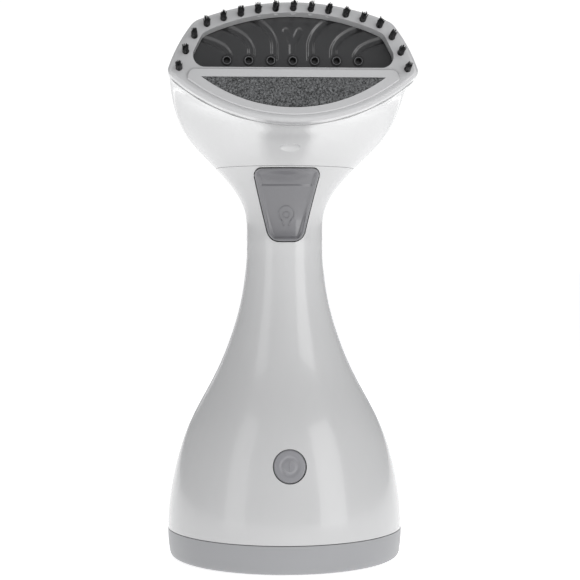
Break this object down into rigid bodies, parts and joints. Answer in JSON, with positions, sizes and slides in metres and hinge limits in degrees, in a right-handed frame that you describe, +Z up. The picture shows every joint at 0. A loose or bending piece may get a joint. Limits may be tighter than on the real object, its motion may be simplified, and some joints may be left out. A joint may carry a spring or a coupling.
{
  "type": "garment steamer",
  "caption": "Hand-held garment steamer: bell-shaped body, slim neck with trigger, wide forward head with steam nozzles, bristle ring and lint pad.",
  "frame": {"origin": "centre of the handle's axis on the plane it stands on, under the middle foot pad", "axes": "+Z up along the handle's axis, -Y the way the steam face looks, +X to the right of someone who faces the trigger"},
  "size_m": [0.1304, 0.1729, 0.2975],
  "materials": {
    "shell_white": "glossy white moulding",
    "band_grey": "satin grey moulding",
    "control_grey": "glossy grey moulding",
    "ring_grey": "light grey glossy moulding",
    "pad_fabric": "mottled grey napped fabric",
    "bristle_black": "stiff black bristle",
    "plate_dark": "dark grey glossy enamel on cast metal",
    "nozzle_black": "moulded black insert",
    "rubber_black": "moulded rubber",
    "silicone": "translucent silicone",
    "cast_aluminium": "as cast",
    "steel": "zinc-plated steel",
    "inner_white": "plain moulding",
    "inner_black": "plain moulding",
    "board_green": "glass-fibre board with solder mask",
    "tank_clear": "translucent blown plastic"
  },
  "bodies": {
    "housing": {"front_shell": "shell_white", "rear_shell": "shell_white", "head_shell": "shell_white", "case_screws": "steel", "base_ring": "band_grey", "base_plate": "band_grey", "rubber_feet": "rubber_black", "base_screws": "steel", "steam_plate": "plate_dark", "nozzle_inserts": "nozzle_black", "steam_gasket": "silicone", "heating_element": "steel", "boiler": "cast_aluminium", "boiler_gasket": "silicone", "boiler_cover": "cast_aluminium", "boiler_screws": "steel", "thermostat": "inner_black", "thermal_fuse": "inner_white", "heat_shield": "steel", "boiler_brackets": "steel", "trigger_pin": "steel", "trigger_spring": "steel", "trigger_switch": "inner_black", "switch_bracket": "inner_white", "power_button_spring": "steel", "power_switch": "inner_black", "control_board": "board_green", "board_screws": "steel", "water_tank": "tank_clear", "filler_hinge_pin": "steel", "inlet_filter": "inner_white", "pickup_tube": "silicone", "pump_body": "inner_black", "pump_spring": "steel", "pump_mounts": "silicone", "riser_tube": "silicone", "wire_loom": "inner_black", "terminal_block": "inner_white", "cord_gland": "rubber_black", "gland_nut": "inner_white"},
    "trigger": {"trigger": "control_grey"},
    "switch_plunger": {"switch_plunger": "inner_white"},
    "power_button": {"power_button": "control_grey"},
    "power_switch_stem": {"power_switch_stem": "inner_white"},
    "filler_door": {"filler_door": "shell_white", "filler_seal": "silicone"},
    "pump_plunger": {"pump_plunger": "steel"},
    "attachment": {"brush_frame": "ring_grey", "pad_holder": "ring_grey", "lint_pad": "pad_fabric", "bristle_tufts": "bristle_black"}
  },
  "joints": [
    {"name": "attachment_slide", "type": "slide", "parent": "housing", "child": "attachment", "axis": [0, -0.9903, 0.1392], "range_m": [0, 0.035]},
    {"name": "trigger_hinge", "type": "hinge", "parent": "housing", "child": "trigger", "pos_m": [0, -0.021, 0.2115], "axis": [1, 0, 0], "range_deg": [0, 5], "stiffness_Nm_per_rad": 0.6, "springref_deg": -5.73, "deforming": ["trigger_spring"]},
    {"name": "switch_plunger_slide", "type": "slide", "parent": "housing", "child": "switch_plunger", "axis": [0, 1, 0], "range_m": [0, 0.0018]},
    {"name": "power_button_slide", "type": "slide", "parent": "housing", "child": "power_button", "axis": [0, 1, 0], "range_m": [0, 0.001], "stiffness_N_per_m": 200, "springref_m": -0.002, "deforming": ["power_button_spring"]},
    {"name": "power_switch_stem_slide", "type": "slide", "parent": "housing", "child": "power_switch_stem", "axis": [0, 1, 0], "range_m": [0, 0.001]},
    {"name": "filler_door_hinge", "type": "hinge", "parent": "housing", "child": "filler_door", "pos_m": [0, 0.05183, 0.07341], "axis": [-1, 0, 0], "range_deg": [0, 100]},
    {"name": "pump_plunger_slide", "type": "slide", "parent": "housing", "child": "pump_plunger", "axis": [0, -1, 0], "range_m": [0, 0.002], "stiffness_N_per_m": 300, "springref_m": -0.002, "deforming": ["pump_spring"]}
  ],
  "couplings": [
    {"joint": "switch_plunger_slide", "follows": "trigger_hinge", "m_per_rad": 0.0175},
    {"joint": "power_switch_stem_slide", "follows": "power_button_slide", "ratio": 1}
  ]
}
